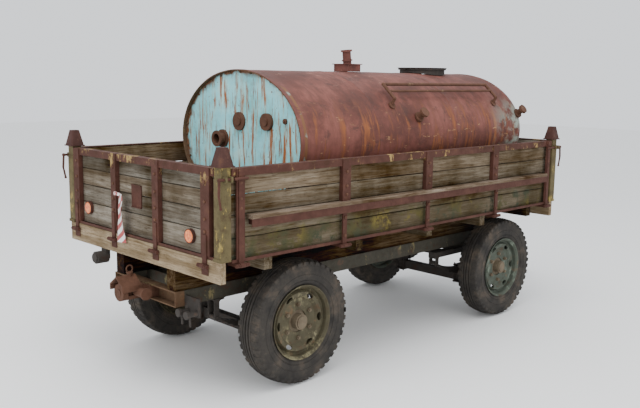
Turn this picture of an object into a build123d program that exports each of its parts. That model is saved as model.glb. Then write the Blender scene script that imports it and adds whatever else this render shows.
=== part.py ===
"""Two-axle drop-side farm trailer with a liquid tank on its bed, in millimetres.

+X points to the drawbar, +Y to the left side and +Z up. The origin is on the ground, on the
centreline, half-way between the rear coupling and the drawbar eye.
"""
import math
import os

from build123d import *

os.makedirs("parts", exist_ok=True)

# Driving dimensions -----------------------------------------------------------------------
bed_length = 3964.0          # rear face of the gate to front face of the front board
bed_width = 1940.0           # over the uprights of the two side boards
board_height = 577.0         # top of the bottom rail's seat to the top of the boards
wheelbase = 2536.0
rear_overhang = 829.0        # rear face of the gate to the rear axle
track = 1460.0
tyre_radius = 454.0
tyre_width = 200.0
rim_radius = 258.0           # bead seat of a 20 inch rim
coupling_reach = 170.0       # how far the coupling stands behind the gate
drawbar_length = 1250.0      # hinge to the centre of the towing eye

bed_above_hub = 594.0        # hub centres to the top of the floor
plank_thickness = 30.0
bearer_size = (70.0, 85.0)   # cross bearers, along the bed and upright
stringer_size = (100.0, 207.0)
channel_height = 108.0
channel_half_spacing = 390.0  # centreline to the outer face of a chassis channel
board_plank = 28.0
upright_depth = 35.0
post_size = 80.0
rail_height = 50.0
sill_size = (45.0, 140.0)

tank_half_width = 720.0
tank_half_height = 530.0
tank_floor_gap = 118.0       # floor to the lowest line of the tank
tank_wall = 5.0
tank_setback = 893.0         # rear face of the gate to the rear rim of the tank
tank_front_gap = 94.0        # front end of the tank to the front face of the front board

gap = 4.0                    # between pieces that move past each other
touch = 0.3                  # between curved faces of different pieces
running = 0.05               # radial clearance of a pin in its hole

drawn_length = 3964.0        # bed length that places along the bed are given on
drawn_width = 1940.0         # bed width that places across the bed are given on
drawn_tank_length = 2977.0   # tank length that places along the tank are given on

# Worked out -------------------------------------------------------------------------------
hub_z = tyre_radius
floor_top = hub_z + bed_above_hub
floor_bottom = floor_top - plank_thickness
bearer_bottom = floor_bottom - bearer_size[1]
stringer_bottom = bearer_bottom - stringer_size[1]
channel_bottom = stringer_bottom - channel_height
half_width = bed_width / 2
board_out = half_width - upright_depth       # outer face of the side planks
board_in = board_out - board_plank
floor_half = board_in - 7
rail_bottom = floor_bottom + 4
board_top = rail_bottom + 16 + board_height

hinge_drop_z = hub_z + 26                    # height of the drawbar hinge
hinge_ahead = 520.0                          # drawbar hinge ahead of the front axle
eye_outer, eye_bore, eye_thick = 60.0, 20.0, 30.0
drawbar_tilt = 0.3
for _ in range(40):
    eye_z = eye_outer * math.sin(drawbar_tilt) + eye_thick / 2 * math.cos(drawbar_tilt) + touch
    drawbar_tilt = math.asin((hinge_drop_z - eye_z) / drawbar_length)
eye_reach = eye_outer * math.cos(drawbar_tilt) + eye_thick / 2 * math.sin(drawbar_tilt)
front_end = (rear_overhang + wheelbase + hinge_ahead
             + drawbar_length * math.cos(drawbar_tilt) + eye_reach)
gate_x = -(front_end - coupling_reach) / 2   # rear face of the gate
front_x = gate_x + bed_length                # front face of the front board
rear_axle_x = gate_x + rear_overhang
front_axle_x = rear_axle_x + wheelbase
tank_length = bed_length - tank_setback - tank_front_gap
tank_rear_x = gate_x + tank_setback
tank_centre_z = floor_top + tank_floor_gap + tank_half_height


def along(place):
    """X of a place given ahead of the gate's rear face."""
    return gate_x + place * bed_length / drawn_length


def across(place):
    """Y of a place given sideways from the centreline."""
    return place * bed_width / drawn_width


def along_tank(place):
    """X of a place given ahead of the tank's rear rim."""
    return tank_rear_x + place * tank_length / drawn_tank_length


def block(x0, x1, y0, y1, z0, z1, mode=Mode.ADD):
    """A square-edged piece between two corners, given in any order."""
    middle = ((x0 + x1) / 2, (y0 + y1) / 2, (z0 + z1) / 2)
    with Locations(middle):
        Box(abs(x1 - x0), abs(y1 - y0), abs(z1 - z0), mode=mode)


def rod(start, end, radius, mode=Mode.ADD):
    """A round bar between two points."""
    a, b = Vector(*start), Vector(*end)
    with Locations(Plane(origin=(a + b) * 0.5, z_dir=b - a).location):
        Cylinder(radius, (b - a).length, mode=mode)


def save(builder, name):
    """Label a finished piece and write its STEP file."""
    builder.part.label = name
    export_step(builder.part, f"parts/{name}.step")


SIDES = {"right": -1, "left": 1}

# Bed ----------------------------------------------------------------------------------------
floor_plank_count = 9
floor_seam = 4.0
floor_start = gate_x + post_size + gap
floor_end = front_x - post_size - gap
floor_pitch = 2 * floor_half / floor_plank_count
with BuildPart() as floor_planks:
    for i in range(floor_plank_count):
        edge = -floor_half + i * floor_pitch
        block(floor_start, floor_end, edge, edge + floor_pitch - floor_seam, floor_bottom, floor_top)
save(floor_planks, "floor_planks")

bearer_places = [400, 1270, 2090, 2820, 3560]     # ahead of the gate
bearer_half = half_width - 30
with BuildPart() as cross_bearers:
    for place in bearer_places:
        x = along(place)
        block(x - bearer_size[0] / 2, x + bearer_size[0] / 2, -bearer_half, bearer_half,
              bearer_bottom, floor_bottom)
save(cross_bearers, "cross_bearers")

stringer_start = gate_x + 60
stringer_end = front_x - 60
stringer_outer = channel_half_spacing - 10
with BuildPart() as timber_stringers:
    for side in (-1, 1):
        block(stringer_start, stringer_end, side * stringer_outer,
              side * (stringer_outer - stringer_size[0]), stringer_bottom, bearer_bottom)
save(timber_stringers, "timber_stringers")

sill_top = rail_bottom + 14
with BuildPart() as end_sills:
    for face, inward in ((gate_x + 2, 1), (front_x - 2, -1)):
        block(face, face + inward * sill_size[0], -half_width + 20, half_width - 20,
              sill_top - sill_size[1], sill_top)
    chamfer(end_sills.edges().filter_by(Axis.Y), 3)
save(end_sills, "end_sills")

# Chassis --------------------------------------------------------------------------------------
channel_flange = 55.0
channel_web = 7.0
end_channel_depth = 75.0
end_channel_web_x = gate_x + 50 + end_channel_depth
channel_start = end_channel_web_x + touch
channel_end = front_x - 60
channel_top = channel_bottom + channel_height
with BuildPart() as chassis_beams:
    for side in (-1, 1):
        out = side * channel_half_spacing
        block(channel_start, channel_end, out, out - side * channel_web, channel_bottom, channel_top)
        for low in (channel_bottom, channel_top - 9):
            block(channel_start, channel_end, out, out - side * channel_flange, low, low + 9)
    for x in (rear_axle_x - 480, rear_axle_x + 480, front_axle_x - 480, channel_end - 40):
        block(x - 30, x + 30, 1 - channel_half_spacing, channel_half_spacing - 1,
              channel_bottom + 12, channel_top - 12)
save(chassis_beams, "chassis_beams")

with BuildPart() as rear_cross_channel:
    lip_x = gate_x + 50
    block(end_channel_web_x - 8, end_channel_web_x, -channel_half_spacing, channel_half_spacing,
          channel_bottom, channel_top - touch)
    for low in (channel_bottom, channel_top - 8 - touch):
        block(lip_x, end_channel_web_x, -channel_half_spacing, channel_half_spacing, low, low + 8)
    for side in (-1, 1):
        block(lip_x, end_channel_web_x, side * channel_half_spacing,
              side * (channel_half_spacing - 7), channel_bottom, channel_top - touch)
save(rear_cross_channel, "rear_cross_channel")


# Corner posts, their caps and the ends of the bed rail -------------------------------------------
post_collar_z = board_top - 62
latch_y = half_width + 15
latch_z = board_top - 62
post_top = board_top + 10
cap_height = 120.0
cap_base, cap_top = 107.0, 58.0
post_half = half_width - post_size / 2 - 1
post_places = [(x, side * post_half) for x in (gate_x + post_size / 2, front_x - post_size / 2)
               for side in (-1, 1)]
with BuildPart() as corner_posts:
    for x, y in post_places:
        half = post_size / 2
        block(x - half, x + half, y - half, y + half, sill_top, post_collar_z)
        block(x - half + 5, x + half - 5, y - half + 5, y + half - 5, post_collar_z, post_top)
        block(x - half - 6 * (1 if x < 0 else 0), x + half + 6 * (0 if x < 0 else 1),
              y - half, y + half, sill_top, sill_top + 20)
    vertical = corner_posts.edges().filter_by(Axis.Z).filter_by(
        lambda edge: edge.length > board_height / 2)
    chamfer(vertical, 5)
    # eyes that hold the latch shafts
    for x, y in post_places:
        side = 1 if y > 0 else -1
        for shift in (-22, 22):
            block(x + shift - 7, x + shift + 7, side * (half_width - 1), side * (latch_y + 16),
                  latch_z - 17, latch_z + 17)
            rod((x + shift - 12, side * latch_y, latch_z), (x + shift + 12, side * latch_y, latch_z),
                9 + running, mode=Mode.SUBTRACT)
save(corner_posts, "corner_posts")

with BuildPart() as post_caps:
    for x, y in post_places:
        block(x - cap_base / 2 - 3, x + cap_base / 2 + 3, y - cap_base / 2 - 3,
              y + cap_base / 2 + 3, post_top, post_top + 8)
        with BuildSketch(Plane.XY.offset(post_top + 8)) as cap_foot:
            with Locations((x, y)):
                RectangleRounded(cap_base, cap_base, 14)
        with BuildSketch(Plane.XY.offset(post_top + cap_height)) as cap_crown:
            with Locations((x, y)):
                RectangleRounded(cap_top, cap_top, 10)
        loft([cap_foot.sketch.face(), cap_crown.sketch.face()])
save(post_caps, "post_caps")

# Hinge irons under the floor and behind the sills, each with its ball-ended pin -------------------
side_hinge_places = [151, 1078, 2019, 2969, 3813]
side_hinge_y = half_width + 15
side_hinge_z = floor_bottom - 13
gate_hinge_y = [across(place) for place in (-800, -240, 300, 843)]
gate_hinge_x = gate_x - 20
gate_hinge_z = sill_top - 42
pin_radius = 9.0
pin_half = 45.0
knuckle_radius = 15.0
knuckle_half = 20.0
lug_inner = knuckle_half + gap
pin_head_radius = 13.0


def pin_head(shaft_end, outward):
    """A stepped round head on a hinge pin, from its neck to past the end of its shaft."""
    for radius, start, stop in ((11, -9, 9), (pin_head_radius, -6, 5)):
        rod(shaft_end + outward * start, shaft_end + outward * stop, radius)


with BuildPart() as hinge_irons:
    for place in side_hinge_places:
        x = along(place)
        for side in (-1, 1):
            y = side * side_hinge_y
            rod((x - pin_half, y, side_hinge_z), (x + pin_half, y, side_hinge_z), pin_radius)
            for end in (-1, 1):
                pin_head(Vector(x + end * pin_half, y, side_hinge_z), Vector(end, 0, 0))
                near, far = x + end * lug_inner, x + end * (lug_inner + 10)
                block(near, far, y + side * 5, side * (bearer_half - 60), side_hinge_z - 12,
                      side_hinge_z + 8)
                rod((near, y, side_hinge_z), (far, y, side_hinge_z), 14)
            block(x - lug_inner - 10, x + lug_inner + 10, side * (board_in - 5),
                  side * (bearer_half - 60), side_hinge_z - 12, side_hinge_z + 8)
    for y in gate_hinge_y:
        rod((gate_hinge_x, y - pin_half, gate_hinge_z), (gate_hinge_x, y + pin_half, gate_hinge_z),
            pin_radius)
        for end in (-1, 1):
            pin_head(Vector(gate_hinge_x, y + end * pin_half, gate_hinge_z), Vector(0, end, 0))
            near, far = y + end * lug_inner, y + end * (lug_inner + 10)
            block(gate_hinge_x + 5, gate_x + 2 - touch, near, far, gate_hinge_z - 12,
                  gate_hinge_z + 10)
            rod((gate_hinge_x, near, gate_hinge_z), (gate_hinge_x, far, gate_hinge_z), 14)
        block(gate_x - 4, gate_x + 2 - touch, y - lug_inner - 10, y + lug_inner + 10,
              gate_hinge_z - 60, gate_hinge_z - 14)
        block(gate_x - 4, gate_x + 2 - touch, y + lug_inner, y + lug_inner + 10,
              gate_hinge_z - 20, gate_hinge_z)
        block(gate_x - 4, gate_x + 2 - touch, y - lug_inner - 10, y - lug_inner,
              gate_hinge_z - 20, gate_hinge_z)
save(hinge_irons, "hinge_irons")

# Side boards ------------------------------------------------------------------------------------
board_start = gate_x + post_size + 5
board_end = front_x - post_size - 5
plank_low = rail_bottom + 6
plank_high = board_top - 6
side_seams = [150.0, 297.0, 424.0]            # above the bottom rail
upright_places = [1098, 2029, 2946]
upright_width = 80.0
corner_strap_width = 66.0
strap_width = 2 * knuckle_half
ledge_top = rail_bottom + 296
ledge_thick = 26.0
ledge_out = half_width + 40
angle_height = 52.0
rail_out = half_width - 8
ledge_start, ledge_end = gate_x + 215, front_x - 215
angle_out = ledge_out - 6
angle_top = ledge_top - ledge_thick

for name, side in SIDES.items():
    levels = [plank_low] + [rail_bottom + seam for seam in side_seams] + [plank_high]
    with BuildPart() as side_planks:
        for low, high in zip(levels, levels[1:]):
            block(board_start + 2, board_end - 2, side * board_in, side * board_out,
                  low + 2, high - 2)
    save(side_planks, f"side_planks_{name}")

    with BuildPart() as side_frame:
        # top rail: an angle over the planks
        block(board_start, board_end, side * (board_in - 2), side * rail_out,
              board_top - 6, board_top)
        block(board_start, board_end, side * (rail_out - 6), side * rail_out,
              board_top - rail_height, board_top)
        # bottom rail: an angle under the planks
        block(board_start, board_end, side * (board_in - 2), side * (half_width - 4),
              rail_bottom, rail_bottom + 6)
        block(board_start, board_end, side * (half_width - 10), side * (half_width - 4),
              rail_bottom, rail_bottom + 21)
        # uprights above the rub rail, and narrower straps down to the hinges
        for place in upright_places:
            x = along(place)
            block(x - upright_width / 2, x + upright_width / 2, side * (board_out + touch),
                  side * half_width, ledge_top + touch, board_top)
        for place in side_hinge_places:
            x = along(place)
            strap_top = ledge_top - ledge_thick - 8
            if place in (side_hinge_places[0], side_hinge_places[-1]):
                strap_top = board_top
                half = corner_strap_width / 2
                block(x - half, x + half, side * (half_width - 10), side * half_width,
                      rail_bottom + 21, strap_top)
                block(x - half, x + half, side * (board_out + touch), side * half_width,
                      board_top - rail_height, strap_top)
            block(x - knuckle_half, x + knuckle_half, side * (half_width - 4),
                  side * (half_width + 8), side_hinge_z, strap_top)
            rod((x - knuckle_half, side * side_hinge_y, side_hinge_z),
                (x + knuckle_half, side * side_hinge_y, side_hinge_z), knuckle_radius)
        for place in side_hinge_places:
            x = along(place)
            rod((x - 2 * knuckle_half, side * side_hinge_y, side_hinge_z),
                (x + 2 * knuckle_half, side * side_hinge_y, side_hinge_z),
                pin_radius + running, mode=Mode.SUBTRACT)
        # steel angle that carries the timber rub rail
        block(ledge_start, ledge_end, side * (half_width + 9), side * angle_out,
              angle_top - 6, angle_top)
        block(ledge_start, ledge_end, side * (angle_out - 6), side * angle_out,
              angle_top - angle_height, angle_top)
        for place in upright_places + [260, 3700]:
            x = along(place)
            block(x - 18, x + 18, side * (half_width + 9), side * angle_out,
                  angle_top - angle_height, angle_top)
            block(x - 18, x + 18, side * (board_out + touch), side * (half_width + 10),
                  angle_top - angle_height + 10, angle_top - 8)
        # keepers that carry on the line of the latch shafts
        for x, inward in ((board_start + 2, 1), (board_end - 2, -1)):
            rod((x, side * (half_width + 15), board_top - 62),
                (x + inward * 110, side * (half_width + 15), board_top - 62), 9)
            eye_x = x + inward * 64
            block(eye_x - 9, eye_x + 9, side * (half_width - 10), side * (half_width + 12),
                  board_top - 74, board_top - 50)
    save(side_frame, f"side_frame_{name}")

    with BuildPart() as rub_rail:
        block(ledge_start, ledge_end, side * (board_out + touch), side * ledge_out,
              ledge_top - ledge_thick, ledge_top)
        chamfer(rub_rail.edges().filter_by(Axis.X), 4)
    save(rub_rail, f"rub_rail_{name}")

# Gate ---------------------------------------------------------------------------------------------
gate_half = half_width - post_size - 5
gate_seams = [172.0, 306.0, 431.0]
gate_bottom = sill_top + gap
end_levels = [gate_bottom + 6] + [sill_top + seam for seam in gate_seams] + [plank_high]
with BuildPart() as gate_planks:
    for low, high in zip(end_levels, end_levels[1:]):
        block(gate_x + upright_depth, gate_x + upright_depth + board_plank, -gate_half + 2,
              gate_half - 2, low + 2, high - 2)
save(gate_planks, "gate_planks")

gate_strap_widths = [90.0, 74.0, 64.0, 80.0]
gate_face = gate_x + upright_depth - touch      # where things screwed to the planks start
with BuildPart() as gate_frame:
    deep = gate_x + upright_depth + board_plank + 2
    block(gate_x + 8, deep, -gate_half, gate_half, board_top - 6, board_top)
    block(gate_x + 8, gate_x + 14, -gate_half, gate_half, board_top - rail_height, board_top)
    block(gate_x + 4, deep, -gate_half, gate_half, gate_bottom, gate_bottom + 6)
    block(gate_x + 4, gate_x + 10, -gate_half, gate_half, gate_bottom, gate_bottom + 18)
    for y, width in zip(gate_hinge_y, gate_strap_widths):
        if y > 0 and y + width / 2 > gate_half:
            width = 2 * (gate_half - y)
        block(gate_x, gate_x + upright_depth - touch, y - width / 2, y + width / 2,
              gate_bottom + 18, board_top)
        block(gate_x - 8, gate_x + 1, y - knuckle_half, y + knuckle_half, gate_hinge_z,
              gate_bottom + 150)
        rod((gate_hinge_x, y - knuckle_half, gate_hinge_z),
            (gate_hinge_x, y + knuckle_half, gate_hinge_z), knuckle_radius)
    for y in gate_hinge_y:
        rod((gate_hinge_x, y - 2 * knuckle_half, gate_hinge_z),
            (gate_hinge_x, y + 2 * knuckle_half, gate_hinge_z), pin_radius + running,
            mode=Mode.SUBTRACT)
    # holder for a plate, screwed to the planks
    block(gate_face - 8, gate_face, -26, 97, rail_bottom + 230, rail_bottom + 392)
    for z in (rail_bottom + 230, rail_bottom + 386):
        block(gate_face - 13, gate_face - 8, -26, 97, z, z + 6)
save(gate_frame, "gate_frame")


reflector_places = [(across(702), 148.0), (across(-607), 129.0)]   # above the bottom rail
reflector_radius = 42.0
with BuildPart() as reflector_bezels:
    for y, up in reflector_places:
        z = rail_bottom + up
        rod((gate_face - 22, y, z), (gate_face, y, z), reflector_radius + 7)
        rod((gate_face - 22, y, z), (gate_face - 10, y, z), reflector_radius + touch,
            mode=Mode.SUBTRACT)
save(reflector_bezels, "reflector_bezels")
with BuildPart() as reflector_lenses:
    for y, up in reflector_places:
        z = rail_bottom + up
        rod((gate_face - 26, y, z), (gate_face - 10, y, z), reflector_radius)
    chamfer(reflector_lenses.edges().group_by(Axis.X)[0], 4)
save(reflector_lenses, "reflector_lenses")

tape_top, tape_tail = rail_bottom + 330, rail_bottom - 30
tape_width, tape_thick, tape_band = 90.0, 8.0, 30.0
tape_x = gate_x - 40
tape_y, knot_y = across(120), across(250)
with BuildPart() as warning_tape:
    block(tape_x, tape_x + tape_thick, tape_y, tape_y + tape_width, tape_tail, tape_top)
    block(tape_x, gate_x - touch, knot_y, knot_y + 12, tape_top - tape_band, tape_top)
    block(tape_x, tape_x + tape_thick, tape_y, knot_y + 12, tape_top - tape_band, tape_top)
save(warning_tape, "warning_tape")

# Front board --------------------------------------------------------------------------------------
with BuildPart() as front_planks:
    for low, high in zip(end_levels, end_levels[1:]):
        block(front_x - upright_depth, front_x - upright_depth - board_plank, -gate_half + 2,
              gate_half - 2, low + 2, high - 2)
save(front_planks, "front_planks")
with BuildPart() as front_frame:
    deep = front_x - upright_depth - board_plank - 2
    block(front_x - 8, deep, -gate_half, gate_half, board_top - 6, board_top)
    block(front_x - 8, front_x - 14, -gate_half, gate_half, board_top - rail_height, board_top)
    block(front_x - 4, deep, -gate_half, gate_half, sill_top, gate_bottom + 6)
    for y in (across(-800), across(-270), across(270), across(800)):
        block(front_x, front_x - upright_depth + touch, y - 38, y + 38, sill_top, board_top)
save(front_frame, "front_frame")

# Tank -----------------------------------------------------------------------------------------------
tank_plane = Plane(origin=(tank_rear_x, 0, tank_centre_z), x_dir=(0, 1, 0), z_dir=(1, 0, 0))
manhole_x = along_tank(2217)
manhole_radius = 200.0
filler_x = along_tank(1197)
filler_bore = 34.0
tank_top = tank_centre_z + tank_half_height
dome_steps = [(0, 70), (12, 40), (34, 14), (70, 0)]   # how far in, and how far short of the end
hole_turn = (math.cos(math.radians(30)), math.sin(math.radians(30)), 0)


def tank_solid(grow, start, length, domed):
    """The tank's oval drum, grown or shrunk evenly, with a dished front end if asked."""
    straight = length - (dome_steps[0][1] if domed else 0)
    with BuildSketch(tank_plane.offset(start)) as oval:
        Ellipse(tank_half_width + grow, tank_half_height + grow)
    extrude(oval.sketch, amount=straight)
    if domed:
        rings = []
        for inward, short in dome_steps:
            with BuildSketch(tank_plane.offset(start + length - short)) as ring:
                Ellipse(tank_half_width + grow - inward, tank_half_height + grow - inward)
            rings.append(ring.sketch.face())
        for near, far in zip(rings, rings[1:]):
            loft([near, far], ruled=True)


with BuildPart() as tank_void:
    tank_solid(-tank_wall, -10, tank_length + 10 - tank_wall, True)
with BuildPart() as tank_outside:
    tank_solid(touch, -10, tank_length + 20, False)
with BuildPart() as tank_shell:
    tank_solid(0, 0, tank_length, True)
    add(tank_void.part, mode=Mode.SUBTRACT)
    for x, radius in ((manhole_x, manhole_radius), (filler_x, filler_bore)):
        with BuildSketch(Plane(origin=(x, 0, tank_top - 150), x_dir=hole_turn, z_dir=(0, 0, 1))):
            Circle(radius)
        extrude(amount=200, mode=Mode.SUBTRACT)
save(tank_shell, "tank_shell")

head_x = tank_rear_x + 36
outlet_y, outlet_z, outlet_bore = 218.0, tank_centre_z - 6, 38.0
with BuildPart() as tank_rear_head:
    with BuildSketch(tank_plane.offset(head_x - tank_rear_x)):
        Ellipse(tank_half_width - tank_wall - touch, tank_half_height - tank_wall - touch)
    extrude(amount=30)
    with BuildSketch(tank_plane.offset(head_x - tank_rear_x + 6)):
        Ellipse(tank_half_width - tank_wall - 8, tank_half_height - tank_wall - 8)
    extrude(amount=30, mode=Mode.SUBTRACT)
    rod((head_x - 5, outlet_y, outlet_z), (head_x + 10, outlet_y, outlet_z), outlet_bore,
        mode=Mode.SUBTRACT)
save(tank_rear_head, "tank_rear_head")

with BuildPart() as rim_hoop:
    with BuildSketch(tank_plane.offset(-2)):
        Ellipse(tank_half_width - tank_wall - touch, tank_half_height - tank_wall - touch)
        Ellipse(tank_half_width - tank_wall - 5, tank_half_height - tank_wall - 5,
                mode=Mode.SUBTRACT)
    extrude(amount=head_x - tank_rear_x + 2 - touch)
    for i in range(36):
        turn = 2 * math.pi * i / 36
        y = (tank_half_width - 22) * math.cos(turn)
        z = tank_centre_z + (tank_half_height - 22) * math.sin(turn)
        rod((head_x - 9, y, z), (head_x - touch, y, z), 9)
save(rim_hoop, "rim_hoop")


outlet_length = 70.0
with BuildPart() as outlet_pipe:
    rod((head_x - outlet_length, outlet_y, outlet_z), (head_x - touch, outlet_y, outlet_z),
        outlet_bore + 7)
    for out, thick, r in ((outlet_length, 12, 62), (14, 14 - touch, 70)):
        rod((head_x - out, outlet_y, outlet_z), (head_x - out + thick, outlet_y, outlet_z), r)
    rod((head_x - outlet_length - 5, outlet_y, outlet_z), (head_x + 5, outlet_y, outlet_z),
        outlet_bore, mode=Mode.SUBTRACT)
save(outlet_pipe, "outlet_pipe")

saddle_places = [300, 1500, 2750]
saddle_thick = 110.0
saddle_half = 600.0
saddle_top = tank_centre_z - tank_half_height + 170
with BuildPart() as tank_saddles:
    for place in saddle_places:
        x = along_tank(place)
        block(x, x + saddle_thick, -saddle_half, saddle_half, floor_top, saddle_top)
    add(tank_outside.part, mode=Mode.SUBTRACT)
save(tank_saddles, "tank_saddles")

with BuildPart() as filler_box:
    block(filler_x - 80, filler_x + 80, -80, 80, tank_top - 20, tank_top + 62)
    block(filler_x - 92, filler_x + 92, -92, 92, tank_top + 56, tank_top + 62)
    add(tank_outside.part, mode=Mode.SUBTRACT)
    rod((filler_x, 0, tank_top - 40), (filler_x, 0, tank_top + 80), filler_bore,
        mode=Mode.SUBTRACT)
save(filler_box, "filler_box")

pipe_tilt = math.radians(7)
pipe_dir = Vector(-math.sin(pipe_tilt), 0, math.cos(pipe_tilt))
pipe_base = Vector(filler_x, 0, tank_top + 62 + 5)
with BuildPart() as filler_pipe:
    rod(pipe_base - pipe_dir * 12, pipe_base + pipe_dir * 110, 36)
    rod(pipe_base + pipe_dir * 98, pipe_base + pipe_dir * 112, 48)
    rod(pipe_base + pipe_dir * 20, pipe_base + pipe_dir * 30, 46)
    rod(pipe_base - pipe_dir * 20, pipe_base + pipe_dir * 120, 28, mode=Mode.SUBTRACT)
    block(filler_x - 90, filler_x + 90, -90, 90, tank_top, tank_top + 62 + touch,
          mode=Mode.SUBTRACT)
save(filler_pipe, "filler_pipe")

collar_top = tank_top + 26
lid_radius = 232.0
with BuildPart() as manhole_collar:
    rod((manhole_x, 0, tank_top - 60), (manhole_x, 0, collar_top), manhole_radius + 10)
    add(tank_outside.part, mode=Mode.SUBTRACT)
    rod((manhole_x, 0, tank_top - 120), (manhole_x, 0, collar_top + 5), manhole_radius,
        mode=Mode.SUBTRACT)
    for side in (-1, 1):
        block(manhole_x + manhole_radius + 4, manhole_x + lid_radius + 30, side * 26, side * 36,
              collar_top - 14, collar_top - 4)
        block(manhole_x + lid_radius + 6, manhole_x + lid_radius + 30, side * 26, side * 36,
              collar_top - 14, collar_top + 8)
    for side in (-1, 1):
        rod((manhole_x + lid_radius + 18, side * 26, collar_top + 8),
            (manhole_x + lid_radius + 18, side * 36, collar_top + 8), 12)
    rod((manhole_x + lid_radius + 18, -40, collar_top + 8),
        (manhole_x + lid_radius + 18, 40, collar_top + 8), 6)
save(manhole_collar, "manhole_collar")

lid_hinge_x = manhole_x + lid_radius + 18
lid_hinge_z = collar_top + 8
with BuildPart() as manhole_lid:
    rod((manhole_x, 0, collar_top + 1), (manhole_x, 0, collar_top + 10), lid_radius - 8)
    with BuildSketch(Plane.XY.offset(collar_top + 10)) as lid_rim:
        with Locations((manhole_x, 0)):
            Circle(lid_radius - 8)
    with BuildSketch(Plane.XY.offset(collar_top + 20)) as lid_face:
        with Locations((manhole_x, 0)):
            Circle(lid_radius)
    loft([lid_rim.sketch.face(), lid_face.sketch.face()])
    block(manhole_x + lid_radius - 40, lid_hinge_x, -22, 22, collar_top + 12, collar_top + 20)
    rod((lid_hinge_x, -22, lid_hinge_z), (lid_hinge_x, 22, lid_hinge_z), 12)
    rod((lid_hinge_x, -30, lid_hinge_z), (lid_hinge_x, 30, lid_hinge_z), 6 + running,
        mode=Mode.SUBTRACT)
    block(manhole_x - lid_radius - 26, manhole_x - lid_radius + 20, -16, 16, collar_top + 11,
          collar_top + 19)
save(manhole_lid, "manhole_lid")


def on_tank(angle, lift):
    """Sideways place and height of a point on the tank's right side, lifted off its skin."""
    turn = math.radians(angle)
    return (-(tank_half_width + lift) * math.sin(turn),
            tank_centre_z + (tank_half_height + lift) * math.cos(turn))


rail_foot_angle, rail_low_angle, rail_high_angle = 60.0, 50.0, 43.0
rail_lift = 55.0
rail_rod = 13.0
with BuildPart() as handrail:
    y_low, z_low = on_tank(rail_low_angle, rail_lift)
    y_high, z_high = on_tank(rail_high_angle, rail_lift)
    ends = (along_tank(1067), along_tank(2487))
    for x in ends:
        foot = (x, *on_tank(rail_foot_angle, touch))
        elbow = (x, *on_tank(rail_foot_angle - 3, rail_lift))
        rod(foot, elbow, rail_rod)
        rod(elbow, (x, y_high, z_high), rail_rod)
        for point in (elbow, (x, y_high, z_high)):
            with Locations(point):
                Sphere(rail_rod + 2)
        plate = (x, *on_tank(rail_foot_angle, touch + 8))
        rod(foot, plate, 32)
    rod((ends[0], y_high, z_high), (ends[1], y_high, z_high), rail_rod)
    rod((ends[0], y_low, z_low), (ends[1], y_low, z_low), 10)
    add(tank_outside.part, mode=Mode.SUBTRACT)
save(handrail, "handrail")


with BuildPart() as tank_fittings:
    for place in (1337, 2807):
        x = along_tank(place)
        root_point = (x, *on_tank(72, -8))
        lip = (x, *on_tank(70, 60))
        crown = (x, *on_tank(69.5, 82))
        rod(root_point, lip, 27)
        rod(root_point, (x, *on_tank(71.5, 12)), 44)
        rod(lip, crown, 42)
    add(tank_outside.part, mode=Mode.SUBTRACT)
    for y, z, r, out in ((12, 137, 70, 16), (-315, 146, 64, 26), (-513, 159, 20, 14)):
        centre_z = tank_centre_z + z
        rod((head_x - out, y, centre_z), (head_x - touch, y, centre_z), r)
        rod((head_x - out - 10, y, centre_z), (head_x - out, y, centre_z), 0.45 * r)
save(tank_fittings, "tank_fittings")

# Running gear ---------------------------------------------------------------------------------------
stub_radius = 30.0
drum_radius = rim_radius - 68
spring_half_spacing = channel_half_spacing - 30
axle_drop = 168.0            # hub centres to the middle of the axle beam
beam_half, beam_low, beam_high = 35.0, hub_z - axle_drop - 40, hub_z - axle_drop + 40
wheel_middle = track / 2
stub_end = wheel_middle + 62


def axle(x):
    """A drop-centre axle beam with a round stub and a brake back plate at each end."""
    drop = axle_drop
    thick = (beam_high - beam_low) / 2
    beam_plane = Plane(origin=(x - beam_half, 0, 0), x_dir=(0, 1, 0), z_dir=(1, 0, 0))
    with BuildSketch(beam_plane) as beam:
        with BuildLine():
            top = [(-575, hub_z + thick), (-530, hub_z + thick), (-400, hub_z + thick - drop),
                   (400, hub_z + thick - drop), (530, hub_z + thick), (575, hub_z + thick)]
            low = [(575, hub_z - thick), (545, hub_z - thick), (420, hub_z - thick - drop),
                   (-420, hub_z - thick - drop), (-545, hub_z - thick), (-575, hub_z - thick)]
            Polyline(*top, *low, close=True)
        make_face()
    extrude(beam.sketch, amount=2 * beam_half)
    for side in (-1, 1):
        rod((x, side * 560, hub_z), (x, side * stub_end, hub_z), stub_radius)
        rod((x, side * 575, hub_z), (x, side * 590, hub_z), drum_radius - 5)


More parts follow.
